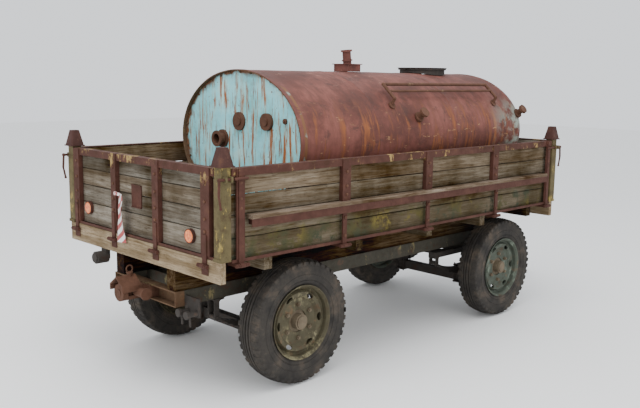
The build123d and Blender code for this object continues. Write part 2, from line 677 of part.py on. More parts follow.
def springs(x, roof):
    """Two packs of leaf springs over an axle, with their clips and hangers up to the roof."""
    leaf, count, reach, rise = 9.0, 7, 440.0, 95.0
    bend = (reach ** 2 + rise ** 2) / (2 * rise)
    base = beam_high + touch
    pack = count * leaf
    for side in (-1, 1):
        y = side * spring_half_spacing
        for i in range(count):
            half = math.degrees((reach - (i * 52)) / bend)
            inner = bend + i * leaf
            centre = (x, base + pack + bend)
            with BuildSketch(Plane.XZ.offset(-y)) as leaf_side:
                with BuildLine():
                    a = CenterArc(centre, inner, -90 - half, 2 * half)
                    b = CenterArc(centre, inner + leaf - touch, -90 - half, 2 * half)
                    Line(a @ 0, b @ 0)
                    Line(a @ 1, b @ 1)
                make_face()
            extrude(leaf_side.sketch, amount=32, both=True)
        eye_z_here = base + pack + rise
        for end in (-1, 1):
            ex = x + end * (reach - 2)
            rod((ex, y - 32, eye_z_here), (ex, y + 32, eye_z_here), 19)
            for cheek in (-1, 1):
                block(ex - 22, ex + 22, y + cheek * 32, y + cheek * 40, eye_z_here - 20, roof)
            block(ex - 26, ex + 26, y - 40, y + 40, roof - 8, roof)
            rod((ex, y - 48, eye_z_here), (ex, y + 48, eye_z_here), 9)
        for near in (-52, 52):
            for across in (-41, 41):
                rod((x + near, y + across, base - 102), (x + near, y + across, base + pack + 30), 7)
        block(x - 64, x + 64, y - 50, y + 50, beam_low - 14, beam_low - touch)
        block(x - 64, x + 64, y - 50, y + 50, base + pack + 2.5, base + pack + 16)


with BuildPart() as rear_axle:
    axle(rear_axle_x)
save(rear_axle, "rear_axle")
with BuildPart() as leaf_springs_rear:
    springs(rear_axle_x, channel_bottom - touch)
save(leaf_springs_rear, "leaf_springs_rear")

ring_outer, ring_inner, ring_thick = 400.0, 330.0, 16.0
lower_ring_top = channel_bottom - ring_thick - touch
with BuildPart() as turntable_upper_ring:
    rod((front_axle_x, 0, channel_bottom - ring_thick), (front_axle_x, 0, channel_bottom - touch),
        ring_outer)
    rod((front_axle_x, 0, channel_bottom - 50), (front_axle_x, 0, channel_bottom + 20), ring_inner,
        mode=Mode.SUBTRACT)
save(turntable_upper_ring, "turntable_upper_ring")
bogie_low = lower_ring_top - ring_thick - 50
knuckle_y = spring_half_spacing - 36         # middle of the drawbar's hinge knuckles
bolt_radius = 12.0
with BuildPart() as turntable_frame:
    rod((front_axle_x, 0, lower_ring_top - ring_thick), (front_axle_x, 0, lower_ring_top),
        ring_outer)
    rod((front_axle_x, 0, lower_ring_top - 60), (front_axle_x, 0, lower_ring_top + 20),
        ring_inner, mode=Mode.SUBTRACT)
    for side in (-1, 1):
        y = side * spring_half_spacing
        block(front_axle_x - 470, front_axle_x + hinge_ahead + 34, y - 40, y + 40, bogie_low,
              lower_ring_top - ring_thick)
    for x in (-300, 300):
        block(front_axle_x + x - 30, front_axle_x + x + 30, -spring_half_spacing,
              spring_half_spacing, bogie_low, lower_ring_top - ring_thick)
    # lugs that carry the drawbar's hinge bolts
    for side in (-1, 1):
        x = front_axle_x + hinge_ahead
        for y in (knuckle_y - 24, knuckle_y + 12):
            block(x - 24, x + 24, side * y, side * (y + 12), hinge_drop_z, bogie_low + 10)
            rod((x, side * y, hinge_drop_z), (x, side * (y + 12), hinge_drop_z), 24)
        block(x - 24, x + 24, side * (knuckle_y - 24), side * spring_half_spacing, bogie_low,
              bogie_low + 30)
        rod((x, side * (knuckle_y - 28), hinge_drop_z), (x, side * (knuckle_y + 28), hinge_drop_z),
            bolt_radius)
save(turntable_frame, "turntable_frame")

with BuildPart() as front_axle:
    axle(front_axle_x)
save(front_axle, "front_axle")
with BuildPart() as leaf_springs_front:
    springs(front_axle_x, bogie_low - touch)
save(leaf_springs_front, "leaf_springs_front")

# Drawbar: an A-frame that lies from its hinge down to the ground ------------------------------------
tilt_dir = Vector(math.cos(drawbar_tilt), 0, -math.sin(drawbar_tilt))
tilt_up = Vector(math.sin(drawbar_tilt), 0, math.cos(drawbar_tilt))
hinge_point = Vector(front_axle_x + hinge_ahead, 0, hinge_drop_z)
drawbar_plane = Plane(origin=hinge_point, x_dir=tilt_dir, z_dir=tilt_up)
leg_half = 24.0
with BuildPart() as drawbar:
    with BuildSketch(drawbar_plane):
        with BuildLine():
            Polyline((34, knuckle_y + 11), (34, knuckle_y - 11), (120, knuckle_y - 45),
                     (drawbar_length - 240, 18), (drawbar_length - 240, 62),
                     (150, knuckle_y + 8), close=True)
        make_face()
        mirror(about=Plane.XZ)
    extrude(amount=leg_half, both=True)
    with BuildSketch(drawbar_plane):
        with Locations(((drawbar_length - 240 + drawbar_length - 40) / 2, 0)):
            Rectangle(200, 64)
        with Locations((620, 0)):
            Rectangle(56, 330)
    extrude(amount=leg_half - 2, both=True)
    with BuildSketch(drawbar_plane):
        with Locations((drawbar_length, 0)):
            Circle(eye_outer)
    extrude(amount=eye_thick / 2, both=True)
    for side in (-1, 1):
        with BuildSketch(Plane(origin=(hinge_point.X, side * knuckle_y, hinge_point.Z),
                               x_dir=tilt_dir, z_dir=(0, 1, 0))):
            Circle(22)
            with Locations((20, 0)):
                Rectangle(40, 36)
        extrude(amount=10.5, both=True)
        rod((hinge_point.X, side * (knuckle_y - 24), hinge_point.Z),
            (hinge_point.X, side * (knuckle_y + 26), hinge_point.Z), bolt_radius + running,
            mode=Mode.SUBTRACT)
    eye_centre = hinge_point + tilt_dir * drawbar_length
    rod(eye_centre - tilt_up * 40, eye_centre + tilt_up * 40, eye_bore, mode=Mode.SUBTRACT)
save(drawbar, "drawbar")

# Wheels ----------------------------------------------------------------------------------------------
disc_face = 35.0             # outer face of the disc outboard of the tyre's middle
stud_circle = 122.5
nut_count = 6
hand_hole_count = 6


def wheel_profile(points, x, side):
    """Turn a closed outline, given as (radius, outboard) pairs, about a wheel's axis."""
    middle = Plane(origin=(x, side * wheel_middle, hub_z), x_dir=(1, 0, 0), z_dir=(0, 0, 1))
    with BuildSketch(middle) as section:
        with BuildLine():
            Polyline(*[(radius, side * out) for radius, out in points], close=True)
        make_face()
    revolve(section.sketch, axis=Axis((x, 0, hub_z), (0, 1, 0)))


for end, x in (("rear", rear_axle_x), ("front", front_axle_x)):
    for name, side in SIDES.items():
        half = tyre_width / 2
        flank = (rim_radius + tyre_radius) / 2
        with BuildPart() as tyre:
            wheel_profile([
                (rim_radius + touch, 64), (rim_radius + 8, 77), (rim_radius + 45, 94),
                (flank, half), (tyre_radius - 50, half - 2), (tyre_radius - 22, half - 9),
                (tyre_radius - 8, half - 20), (tyre_radius, half - 42),
                (tyre_radius, 42 - half), (tyre_radius - 8, 20 - half), (tyre_radius - 22, 9 - half),
                (tyre_radius - 50, 2 - half), (flank, -half), (rim_radius + 45, -94),
                (rim_radius + 8, -77), (rim_radius + touch, -64),
                (rim_radius + touch, -48), (rim_radius + 40, -70), (flank, -half + 12),
                (tyre_radius - 40, -half + 14), (tyre_radius - 20, -half + 40),
                (tyre_radius - 20, half - 40), (tyre_radius - 40, half - 14),
                (flank, half - 12), (rim_radius + 40, 70), (rim_radius + touch, 48)],
                x, side)
        save(tyre, f"tyre_{end}_{name}")

        with BuildPart() as wheel:
            wheel_profile([
                (rim_radius + 13, 92), (rim_radius + 13, 86), (rim_radius + 1, 72),
                (rim_radius, 66), (rim_radius, 40), (rim_radius - 22, 26),
                (rim_radius - 22, -26), (rim_radius, -40), (rim_radius, -66),
                (rim_radius + 1, -72), (rim_radius + 13, -86), (rim_radius + 13, -92),
                (rim_radius + 6, -90), (rim_radius - 7, -72), (rim_radius - 8, -40),
                (rim_radius - 30, -24), (rim_radius - 30, 26), (rim_radius - 8, 40),
                (rim_radius - 7, 72), (rim_radius + 6, 90)], x, side)
            wheel_profile([
                (82, disc_face), (rim_radius - 92, disc_face), (rim_radius - 70, disc_face + 22),
                (rim_radius - 44, disc_face + 24), (rim_radius - 29, disc_face - 6),
                (rim_radius - 29, disc_face - 17), (rim_radius - 50, disc_face + 13),
                (rim_radius - 66, disc_face + 12), (rim_radius - 87, disc_face - 10),
                (82, disc_face - 10)], x, side)
            y_face = side * (wheel_middle + disc_face)
            for i in range(nut_count):
                turn = math.radians(360 / nut_count * i + 30)
                sx, sz = x + stud_circle * math.cos(turn), hub_z + stud_circle * math.sin(turn)
                rod((sx, y_face + 20, sz), (sx, y_face - 20, sz), 11, mode=Mode.SUBTRACT)
            for i in range(hand_hole_count):
                turn = math.radians(360 / hand_hole_count * i)
                hole = Plane(origin=(x, side * (wheel_middle - 10), hub_z),
                             x_dir=(math.cos(turn), 0, math.sin(turn)), z_dir=(0, side, 0))
                with BuildSketch(hole):
                    with Locations((rim_radius - 62, 0)):
                        Ellipse(17, 33)
                extrude(amount=90, mode=Mode.SUBTRACT)
        save(wheel, f"wheel_{end}_{name}")

        with BuildPart() as hub:
            near = side * (wheel_middle - 130)
            seat = side * (wheel_middle + disc_face - 10 - touch)
            rod((x, near, hub_z), (x, near + side * 100, hub_z), drum_radius)
            rod((x, near, hub_z), (x, near + side * 88, hub_z), drum_radius - 12,
                mode=Mode.SUBTRACT)
            rod((x, near + side * 20, hub_z), (x, seat, hub_z), 78)
            rod((x, seat - side * 14, hub_z), (x, seat, hub_z), rim_radius - 100)
            rod((x, seat, hub_z), (x, side * (wheel_middle + 78), hub_z), 56)
            rod((x, side * (wheel_middle + 78), hub_z), (x, side * (wheel_middle + 86), hub_z), 44)
            for i in range(nut_count):
                turn = math.radians(360 / nut_count * i + 30)
                sx, sz = x + stud_circle * math.cos(turn), hub_z + stud_circle * math.sin(turn)
                rod((sx, seat, sz), (sx, y_face + side * 26, sz), 9)
                nut = Plane(origin=(sx, y_face + side * touch, sz), x_dir=(1, 0, 0),
                            z_dir=(0, side, 0))
                with BuildSketch(nut):
                    RegularPolygon(16, 6)
                extrude(amount=18)
            rod((x, near - side, hub_z), (x, side * (stub_end + 1), hub_z), stub_radius + running,
                mode=Mode.SUBTRACT)
        save(hub, f"hub_{end}_{name}")

# Coupling for a second trailer ------------------------------------------------------------------------
drum_r = 61.0
coupling_z = channel_bottom + 62
jaw_x = gate_x - 62
pin_r = 16.0
with BuildPart() as coupling_body:
    rod((gate_x - 150, 0, coupling_z), (jaw_x - 48, 0, coupling_z), drum_r)
    rod((gate_x - 154, 0, coupling_z), (gate_x - 150, 0, coupling_z), 26)
    block(jaw_x - 60, end_channel_web_x - 8 - touch, -38, 38, coupling_z - 52, coupling_z - 26)
    block(jaw_x - 60, end_channel_web_x - 8 - touch, -38, 38, coupling_z + 20, coupling_z + 36)
    block(gate_x - 4, end_channel_web_x - 8 - touch, -38, 38, coupling_z - 52, coupling_z + 36)
    block(gate_x + 44, end_channel_web_x - 8 - touch, -90, 90, channel_bottom + 10 + touch,
          channel_top - 10 - touch)
    for side in (-1, 1):
        hood = Plane(origin=(gate_x - coupling_reach, 0, coupling_z), x_dir=(0, 1, 0),
                     z_dir=(1, 0, 0))
        with BuildSketch(hood):
            with BuildLine():
                Polyline((0, 118), (side * 84, 56), (side * 84, 14), (side * 74, 14),
                         (side * 74, 50), (0, 105), close=True)
            make_face()
        extrude(amount=150)
    block(gate_x - 150, gate_x - 40, -6, 6, coupling_z + 40, coupling_z + 108)
    rod((gate_x - 30, -150, coupling_z), (gate_x - 30, -38, coupling_z), 33)
    rod((gate_x - 30, -162, coupling_z), (gate_x - 30, -150, coupling_z), 42)
    rod((jaw_x, 0, coupling_z - 80), (jaw_x, 0, coupling_z + 140), pin_r + running,
        mode=Mode.SUBTRACT)
save(coupling_body, "coupling_body")
with BuildPart() as coupling_pin:
    rod((jaw_x, 0, coupling_z - 60), (jaw_x, 0, coupling_z + 128), pin_r)
    rod((jaw_x, 0, coupling_z + 128), (jaw_x, 0, coupling_z + 136), 24)
    with Locations(Plane(origin=(jaw_x, 0, coupling_z + 158), z_dir=(0, 1, 0)).location):
        Torus(24, 5)
save(coupling_pin, "coupling_pin")

# Latches at the corner posts ----------------------------------------------------------------------------
for end, post_x, out in (("rear", gate_x + post_size / 2, -1), ("front", front_x - post_size / 2, 1)):
    for name, side in SIDES.items():
        y = side * latch_y
        tip = post_x + out * (post_size / 2 + 26)
        with BuildPart() as latch:
            rod((post_x - out * (post_size / 2 - 2), y, latch_z), (tip, y, latch_z), 9)
            with Locations((tip, y, latch_z)):
                Sphere(13)
            bend = (tip + out * 6, y + side * 2, latch_z - 95)
            rod((tip, y, latch_z), bend, 8)
            with Locations(bend):
                Sphere(8)
            rod(bend, (tip - out * 10, y, latch_z - 175), 7)
            with Locations((tip - out * 10, y, latch_z - 175)):
                Sphere(10)
        save(latch, f"latch_{end}_{name}")

# Lamp socket under the sill, and the brake hose couplings -------------------------------------------
with BuildPart() as tail_lamp:
    lamp_y, lamp_z = 470.0, sill_top - sill_size[1] - 62
    block(gate_x + 6, gate_x + 40, lamp_y - 34, lamp_y + 34, lamp_z - 10, sill_top - sill_size[1])
    rod((gate_x - 62, lamp_y, lamp_z), (gate_x + 30, lamp_y, lamp_z), 46)
    rod((gate_x - 74, lamp_y, lamp_z), (gate_x - 62, lamp_y, lamp_z), 34)
save(tail_lamp, "tail_lamp")
with BuildPart() as brake_couplings:
    hose_z = channel_bottom - 24
    for y in (-430.0, -520.0):
        rod((gate_x + 60, y, hose_z), (gate_x + 150, y, hose_z), 20)
        rod((gate_x + 40, y, hose_z), (gate_x + 62, y, hose_z), 28)
        rod((gate_x + 75, y, hose_z), (gate_x + 70, y - 12, hose_z - 80), 8)
    block(gate_x + 130, gate_x + 145, -545, -channel_half_spacing, hose_z - 30, channel_top - 30)
save(brake_couplings, "brake_couplings")
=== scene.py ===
import math
import random

import bpy
from mathutils import Matrix, Vector


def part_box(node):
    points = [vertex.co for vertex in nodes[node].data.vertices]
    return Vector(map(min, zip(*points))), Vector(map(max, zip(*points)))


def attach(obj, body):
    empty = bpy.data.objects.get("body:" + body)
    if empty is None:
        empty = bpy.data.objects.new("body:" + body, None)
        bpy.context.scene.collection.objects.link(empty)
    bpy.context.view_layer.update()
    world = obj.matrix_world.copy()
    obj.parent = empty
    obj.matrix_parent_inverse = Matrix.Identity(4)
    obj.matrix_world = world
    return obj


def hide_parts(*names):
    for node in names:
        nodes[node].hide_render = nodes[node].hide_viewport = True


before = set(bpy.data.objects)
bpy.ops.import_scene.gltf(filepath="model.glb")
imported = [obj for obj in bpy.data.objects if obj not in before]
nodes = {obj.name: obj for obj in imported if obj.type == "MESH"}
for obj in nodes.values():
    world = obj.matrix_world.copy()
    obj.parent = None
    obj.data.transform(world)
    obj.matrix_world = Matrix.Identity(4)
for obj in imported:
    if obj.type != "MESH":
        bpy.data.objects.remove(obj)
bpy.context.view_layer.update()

# Camera ---------------------------------------------------------------------------------------
# It stands behind and to the right of the trailer at a tall person's eye height,
# turned a little more than half-way towards the bed and tipped slightly down.
knuckle_depth = 0.035         # the gate's knuckles, behind the face of its bars
gate_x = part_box("gate_frame")[0].x + knuckle_depth
half_width = 0.97             # from the middle to the face of the side boards' bars
camera_behind, camera_aside, camera_height = 2.916, 3.825, 2.174
turn, dip, roll = math.radians(45.55), math.radians(9.03), math.radians(0.81)
view_line = Vector((math.cos(dip) * math.cos(turn), math.cos(dip) * math.sin(turn),
                    -math.sin(dip)))
level = Vector((math.sin(turn), -math.cos(turn), 0))
upright = level.cross(view_line)
across = math.cos(roll) * level + math.sin(roll) * upright
upward = math.cos(roll) * upright - math.sin(roll) * level
camera_data = bpy.data.cameras.new("camera")
camera_data.lens = 44.95
camera = bpy.data.objects.new("camera", camera_data)
bpy.context.scene.collection.objects.link(camera)
stand = Matrix((across, upward, -view_line)).transposed().to_4x4()
stand.translation = (gate_x - camera_behind, -half_width - camera_aside, camera_height)
camera.matrix_world = stand
bpy.context.scene.camera = camera

# Floor and lights -----------------------------------------------------------------------------
# A plain pale studio floor, a big soft light overhead and two weaker ones that
# fill the shade on the near side and at the rear.


def cleared():
    """Nothing stays selected, so the next operator only acts on its own piece."""
    if bpy.context.mode != "OBJECT":
        bpy.ops.object.mode_set(mode="OBJECT")
    bpy.ops.object.select_all(action="DESELECT")


def new_material(name, roughness, shine=0.5):
    """A material with its shader's plain values set; gives its node tree and shader too."""
    material = bpy.data.materials.new(name)
    material.use_nodes = True
    tree = material.node_tree
    shader = tree.nodes["Principled BSDF"]
    shader.inputs["Roughness"].default_value = roughness
    shader.inputs["Specular IOR Level"].default_value = shine
    return material, tree, shader


floor_width = 60
floor_finish, _, floor_shader = new_material("pale_floor", roughness=0.9)
floor_shader.inputs["Base Color"].default_value = (0.92, 0.92, 0.91, 1)
cleared()
bpy.ops.mesh.primitive_plane_add(size=floor_width)
floor = bpy.context.object
floor.name = "studio_floor"
floor.data.materials.append(floor_finish)

world = bpy.data.worlds.new("studio")
bpy.context.scene.world = world
world.use_nodes = True
sky = world.node_tree.nodes["Background"]
sky.inputs["Color"].default_value = (0.93, 0.96, 1.0, 1)
sky.inputs["Strength"].default_value = 1.3

# each light's name, where it hangs, what it is aimed at, its width and its power
for name, spot, aim, width, power in (
        ("overhead", (-2.5, -2.0, 7.5), (0.0, 0.0, 1.2), 6.0, 420.0),
        ("near_fill", (-3.5, -8.0, 3.0), (0.0, -1.0, 1.2), 5.0, 160.0),
        ("rear_fill", (-9.0, 0.5, 3.5), (-1.5, 0.0, 1.2), 4.0, 150.0)):
    light_data = bpy.data.lights.new(name, "AREA")
    light_data.size = width
    light_data.energy = power
    light = bpy.data.objects.new(name, light_data)
    light.location = spot
    light.rotation_euler = (Vector(aim) - Vector(spot)).to_track_quat("-Z", "Y").to_euler()
    bpy.context.scene.collection.objects.link(light)

# Planks of the boards, the gate and the bed ---------------------------------------------------
# Softwood planks gone silver-grey in the rain, with brown and black weather
# stains, open grain and a little old yellow and green paint low down. Each is
# sawn by itself, so its edges wander and its tone differs from its neighbours'.


def linked(tree, node, socket, value):
    """Join a socket to another node's output, or give it a plain value."""
    if isinstance(value, bpy.types.NodeSocket):
        tree.links.new(value, node.inputs[socket])
    else:
        node.inputs[socket].default_value = value


def place_on_piece(tree, scale=(1, 1, 1), shift=(0, 0, 0)):
    """Where a point is on the piece, stretched so that a pattern runs the right way."""
    coords = tree.nodes.new("ShaderNodeTexCoord")
    mapping = tree.nodes.new("ShaderNodeMapping")
    mapping.inputs["Scale"].default_value = scale
    mapping.inputs["Location"].default_value = shift
    tree.links.new(coords.outputs["Object"], mapping.inputs["Vector"])
    return mapping.outputs["Vector"]


def clouds(tree, where, scale, detail=6.0, rough=0.6, twist=0.0):
    """Soft random patches."""
    node = tree.nodes.new("ShaderNodeTexNoise")
    linked(tree, node, "Vector", where)
    node.inputs["Scale"].default_value = scale
    node.inputs["Detail"].default_value = detail
    node.inputs["Roughness"].default_value = rough
    node.inputs["Distortion"].default_value = twist
    return node.outputs["Fac"]


def graded(tree, value, *stops):
    """Turn a value into a colour by stops of (place, colour)."""
    node = tree.nodes.new("ShaderNodeValToRGB")
    linked(tree, node, "Fac", value)
    elements = node.color_ramp.elements
    while len(elements) < len(stops):
        elements.new(0.5)
    for element, (at, colour) in zip(elements, stops):
        element.position = at
        element.color = (*colour, 1)
    return node.outputs["Color"]


def step(tree, value, low, high):
    """A mask that rises from 0 at low to 1 at high."""
    node = tree.nodes.new("ShaderNodeMapRange")
    linked(tree, node, "Value", value)
    node.inputs["From Min"].default_value = low
    node.inputs["From Max"].default_value = high
    return node.outputs["Result"]


def worked(tree, how, first, second=0.5):
    """One sum on two values."""
    node = tree.nodes.new("ShaderNodeMath")
    node.operation = how
    linked(tree, node, 0, first)
    linked(tree, node, 1, second)
    return node.outputs[0]


def times(tree, first, second):
    return worked(tree, "MULTIPLY", first, second)


def blended(tree, mask, first, second, kind="MIX"):
    """Lay the second colour over the first where the mask says."""
    node = tree.nodes.new("ShaderNodeMix")
    node.data_type = "RGBA"
    node.blend_type = kind
    linked(tree, node, 0, mask)
    for socket, value in ((6, first), (7, second)):
        linked(tree, node, socket, (*value, 1) if isinstance(value, tuple) else value)
    return node.outputs[2]


def axis_of(tree, where, axis):
    """One of a place's three numbers."""
    node = tree.nodes.new("ShaderNodeSeparateXYZ")
    tree.links.new(where, node.inputs[0])
    return node.outputs[axis]


def roughened(tree, shader, height, strength, distance):
    """Raise and sink the surface by a height."""
    node = tree.nodes.new("ShaderNodeBump")
    node.inputs["Strength"].default_value = strength
    node.inputs["Distance"].default_value = distance
    linked(tree, node, "Height", height)
    tree.links.new(node.outputs["Normal"], shader.inputs["Normal"])


def darkened(colour, share):
    return tuple(share * part for part in colour)


OLD_GREEN, OLD_OLIVE, OLD_YELLOW = (0.040, 0.060, 0.040), (0.10, 0.085, 0.028), (0.26, 0.20, 0.04)
LOW_GRIME = (0.09, 0.075, 0.04)


def weathered_timber(name, grain, tones, paint_below=None, tint=True):
    """Grey weathered planks in three tones; grain stretches the figure along the plank."""
    pale, mid, dark = tones
    material, tree, shader = new_material(name, roughness=0.92, shine=0.15)
    along = place_on_piece(tree, grain)
    plain = place_on_piece(tree)
    figure = clouds(tree, along, 11.0, detail=8.0, rough=0.72, twist=0.6)
    fine = clouds(tree, along, 60.0, detail=4.0, rough=0.7)
    colour = graded(tree, figure, (0.30, dark), (0.44, mid), (0.62, pale), (0.80, mid))
    stain = step(tree, clouds(tree, along, 2.2, detail=5.0), 0.44, 0.66)
    colour = blended(tree, times(tree, stain, 0.65), colour, dark)
    washed = step(tree, clouds(tree, plain, 1.6, detail=4.0), 0.35, 0.75)
    colour = blended(tree, washed, colour, darkened(pale, 0.62), "MULTIPLY")
    contrast = tree.nodes.new("ShaderNodeBrightContrast")
    tree.links.new(colour, contrast.inputs["Color"])
    contrast.inputs["Bright"].default_value = 0.02
    contrast.inputs["Contrast"].default_value = 0.12
    cracks = step(tree, fine, 0.60, 0.66)
    colour = blended(tree, times(tree, cracks, 0.75), contrast.outputs["Color"],
                     darkened(dark, 0.18))
    if paint_below is not None:
        low_down = step(tree, axis_of(tree, plain, 2), paint_below + 0.02, paint_below - 0.05)
        flakes = step(tree, clouds(tree, plain, 7.0, detail=8.0, rough=0.75), 0.50, 0.58)
        coats = clouds(tree, plain, 3.0, detail=3.0, rough=0.5)
        paint = graded(tree, coats, (0.40, OLD_GREEN), (0.52, OLD_OLIVE), (0.66, OLD_YELLOW))
        colour = blended(tree, times(tree, low_down, flakes), colour, paint)
        colour = blended(tree, times(tree, low_down, 0.35), colour, LOW_GRIME)
    if tint:
        shade = tree.nodes.new("ShaderNodeAttribute")
        shade.attribute_name = "plank_tint"
        colour = blended(tree, 1.0, colour, shade.outputs["Color"], "MULTIPLY")
    tree.links.new(colour, shader.inputs["Base Color"])
    height = worked(tree, "SUBTRACT", figure, times(tree, cracks, 0.8))
    roughened(tree, shader, height, 0.75, 0.004)
    return material


side_paint_top = 1.20         # scraps of paint are left below this height
side_timber = weathered_timber(
    "side_board_timber", (0.35, 7, 7),
    ((0.285, 0.240, 0.185), (0.190, 0.152, 0.112), (0.095, 0.066, 0.044)), side_paint_top)
gate_timber = weathered_timber(
    "gate_timber", (7, 0.35, 7),
    ((0.330, 0.296, 0.248), (0.225, 0.195, 0.158), (0.110, 0.085, 0.063)))
bed_timber = weathered_timber(
    "bed_timber", (0.35, 7, 7),
    ((0.27, 0.22, 0.165), (0.17, 0.135, 0.095), (0.07, 0.05, 0.035)))


def picked(piece, kind, test):
    """Select the faces, edges or points of a piece that pass a test, and go into edit mode."""
    cleared()
    bpy.context.view_layer.objects.active = piece
    piece.select_set(True)
    mesh = piece.data
    groups = {"VERT": mesh.vertices, "EDGE": mesh.edges, "FACE": mesh.polygons}
    for group in groups.values():
        group.foreach_set("select", [False] * len(group))
    bpy.context.tool_settings.mesh_select_mode = tuple(kind == each for each in groups)
    for item in groups[kind]:
        if test(item):
            item.select = True
    bpy.ops.object.mode_set(mode="EDIT")


def settled(piece):
    """Work a piece's place, turn and size into its mesh."""
    cleared()
    bpy.context.view_layer.objects.active = piece
    piece.select_set(True)
    bpy.ops.object.transform_apply(location=True, rotation=True, scale=True)


def applied(piece, kind, **settings):
    """Add a modifier, set it and apply it."""
    cleared()
    bpy.context.view_layer.objects.active = piece
    piece.select_set(True)
    modifier = piece.modifiers.new(kind.lower(), kind)
    for key, value in settings.items():
        setattr(modifier, key, value)
    bpy.ops.object.modifier_apply(modifier=modifier.name)


def block(middle, size):
    """A plain block of a size about its middle."""
    cleared()
    bpy.ops.mesh.primitive_cube_add(size=1, location=middle)
    piece = bpy.context.object
    piece.scale = size
    settled(piece)
    return piece


def made_up(pieces, name, body, material, *stands_for, angle=35):
    """Join pieces into one, name it, give it its finish and let it ride on a body."""
    cleared()
    for piece in pieces:
        piece.select_set(True)
    bpy.context.view_layer.objects.active = pieces[0]
    if len(pieces) > 1:
        bpy.ops.object.join()
    piece = bpy.context.view_layer.objects.active
    bpy.ops.object.transform_apply(location=True, rotation=True, scale=True)
    piece.name = name
    piece.data.name = name
    piece.data.materials.clear()
    piece.data.materials.append(material)
    bpy.ops.object.shade_smooth_by_angle(angle=math.radians(angle))
    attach(piece, body)
    if stands_for:
        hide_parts(*stands_for)
    return piece


saw = random.Random(11)
edge_wander, edge_round = 0.0016, 0.003
long_wave = 5.0               # turn of the edge's waviness in a metre, in radians


def plank(low, high, along, cuts=28):
    """One sawn plank between two corners, with edges that wander and a tint of its own."""
    low, high = Vector(low), Vector(high)
    middle = (low + high) / 2
    board = block(middle, high - low)
    mesh = board.data

    def runs_along(edge):
        a, b = (mesh.vertices[i].co for i in edge.vertices)
        return abs((a - b)[along]) > 0.5 * (high - low)[along]

    picked(board, "EDGE", runs_along)
    bpy.ops.mesh.subdivide(number_cuts=cuts)
    bpy.ops.object.mode_set(mode="OBJECT")
    phases = [saw.uniform(0, 6.28) for _ in range(6)]
    for point in mesh.vertices:
        t = (point.co[along] - low[along]) * long_wave
        for axis in range(3):
            if axis == along:
                continue
            side = 1 if point.co[axis] > middle[axis] else -1
            wave = math.sin(t + phases[axis] + side) + 0.6 * math.sin(2.7 * t + phases[axis + 3])
            point.co[axis] -= side * edge_wander * (1 + wave) * 0.6
    applied(board, "BEVEL", width=edge_round, segments=2, limit_method="ANGLE", angle_limit=0.9)
    shade = saw.uniform(0.72, 1.12)
    warmth = saw.uniform(-0.05, 0.05)
    tint = mesh.color_attributes.new("plank_tint", "FLOAT_COLOR", "POINT")
    for entry in tint.data:
        entry.color = (shade * (1 + warmth), shade, shade * (1 - warmth), 1)
    return board


half_seam = 0.0022            # half the gap between two planks


def planks_of(node, seams, along, **how):
    """Planks one above another, parted at the seams, that fill a CAD board's box."""
    low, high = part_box(node)
    levels = [low.z, *seams, high.z]
    made = []
    for bottom, top in zip(levels, levels[1:]):
        made.append(plank((low.x, low.y, bottom + half_seam), (high.x, high.y, top - half_seam),
                          along, **how))
    return made


side_seams = (1.172, 1.319, 1.446)
for side in ("right", "left"):
    node = f"side_planks_{side}"
    made_up(planks_of(node, side_seams, 0), f"planks_side_{side}", f"side_board_{side}",
            side_timber, node)
gate_seams = (1.208, 1.342, 1.467)
made_up(planks_of("gate_planks", gate_seams, 1, cuts=16), "planks_gate", "gate", gate_timber,
        "gate_planks")
made_up(planks_of("front_planks", gate_seams, 1, cuts=16), "planks_front", "trailer_body",
        gate_timber, "front_planks")

plank_count, floor_gap, end_slack = 9, 0.005, 0.004
floor_low, floor_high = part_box("floor_planks")
pitch = (floor_high.y - floor_low.y + end_slack) / plank_count
floor_boards = []
for i in range(plank_count):
    edge = floor_low.y + i * pitch
    floor_boards.append(plank((floor_low.x, edge, floor_low.z),
                              (floor_high.x, edge + pitch - floor_gap, floor_high.z), 0))
made_up(floor_boards, "planks_floor", "trailer_body", bed_timber, "floor_planks")

# Sills, bearers, stringers, saddles and rub rails ---------------------------------------------
# Heavier sawn timber bolted under and across the bed: the sills are pale tan
# beams, the ones beneath the planks are dark with oil and dirt, and the rub
# rails along the side boards are a paler grey.


def finish_nodes(material, *names):
    """Give CAD nodes their finish."""
    for node in names:
        materials = nodes[node].data.materials
        materials.clear()
        materials.append(material)


for name, grain, tones, pieces in (
        ("sill_timber", (7, 0.4, 7),
         ((0.38, 0.31, 0.22), (0.27, 0.21, 0.145), (0.13, 0.095, 0.06)), ("end_sills",)),
        ("under_timber", (0.4, 7, 7),
         ((0.13, 0.10, 0.07), (0.08, 0.06, 0.045), (0.03, 0.022, 0.016)), ("timber_stringers",)),
        ("cross_timber", (7, 0.4, 7),
         ((0.22, 0.19, 0.15), (0.14, 0.115, 0.085), (0.05, 0.04, 0.03)),
         ("cross_bearers", "tank_saddles")),
        ("rub_rail_timber", (0.35, 8, 8),
         ((0.36, 0.30, 0.245), (0.23, 0.18, 0.14), (0.09, 0.065, 0.045)),
         ("rub_rail_right", "rub_rail_left"))):
    finish_nodes(weathered_timber(name, grain, tones, tint=False), *pieces)

# Steel of the boards, posts, latches and underframe -------------------------------------------
# Rolled angle, channel and flat bar under maroon paint that has rusted through,
# with scraps of the yellow and olive coats that lie beneath it on rails and
# posts, and bare rusty iron at the coupling and the tank's outlet.


